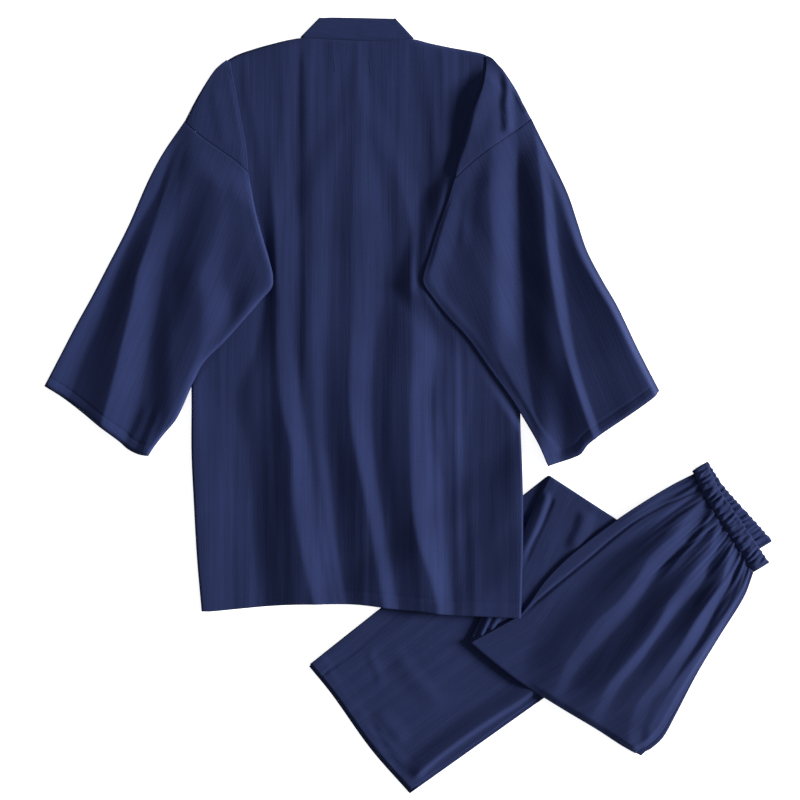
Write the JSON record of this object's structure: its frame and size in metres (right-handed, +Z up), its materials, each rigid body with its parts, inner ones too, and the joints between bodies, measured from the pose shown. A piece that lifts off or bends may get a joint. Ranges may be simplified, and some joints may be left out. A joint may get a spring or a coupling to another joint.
{
  "type": "kimono pyjama set",
  "caption": "Navy double-gauze kimono jacket laid face down, with shoulder pleats and wide sleeves, over folded elastic-waist trousers.",
  "frame": {"origin": "under the middle of the set's box, on the surface that it lies on", "axes": "+X to the right as seen from above, +Y towards the jacket's collar, +Z up from the surface"},
  "size_m": [0.9292, 0.993, 0.0239],
  "materials": {
    "jacket_cloth": "matt cotton double gauze with a fine lengthwise slub",
    "band_cloth": "matt cotton double gauze, doubled",
    "trouser_cloth": "matt cotton double gauze with a fine lengthwise slub"
  },
  "bodies": {
    "root": {"jacket_back": "jacket_cloth", "jacket_front_left": "jacket_cloth", "jacket_front_right": "jacket_cloth", "sleeve_left": "jacket_cloth", "sleeve_right": "jacket_cloth", "collar_band": "band_cloth", "leg_left": "trouser_cloth", "leg_right": "trouser_cloth", "waistband": "band_cloth"}
  },
  "joints": []
}
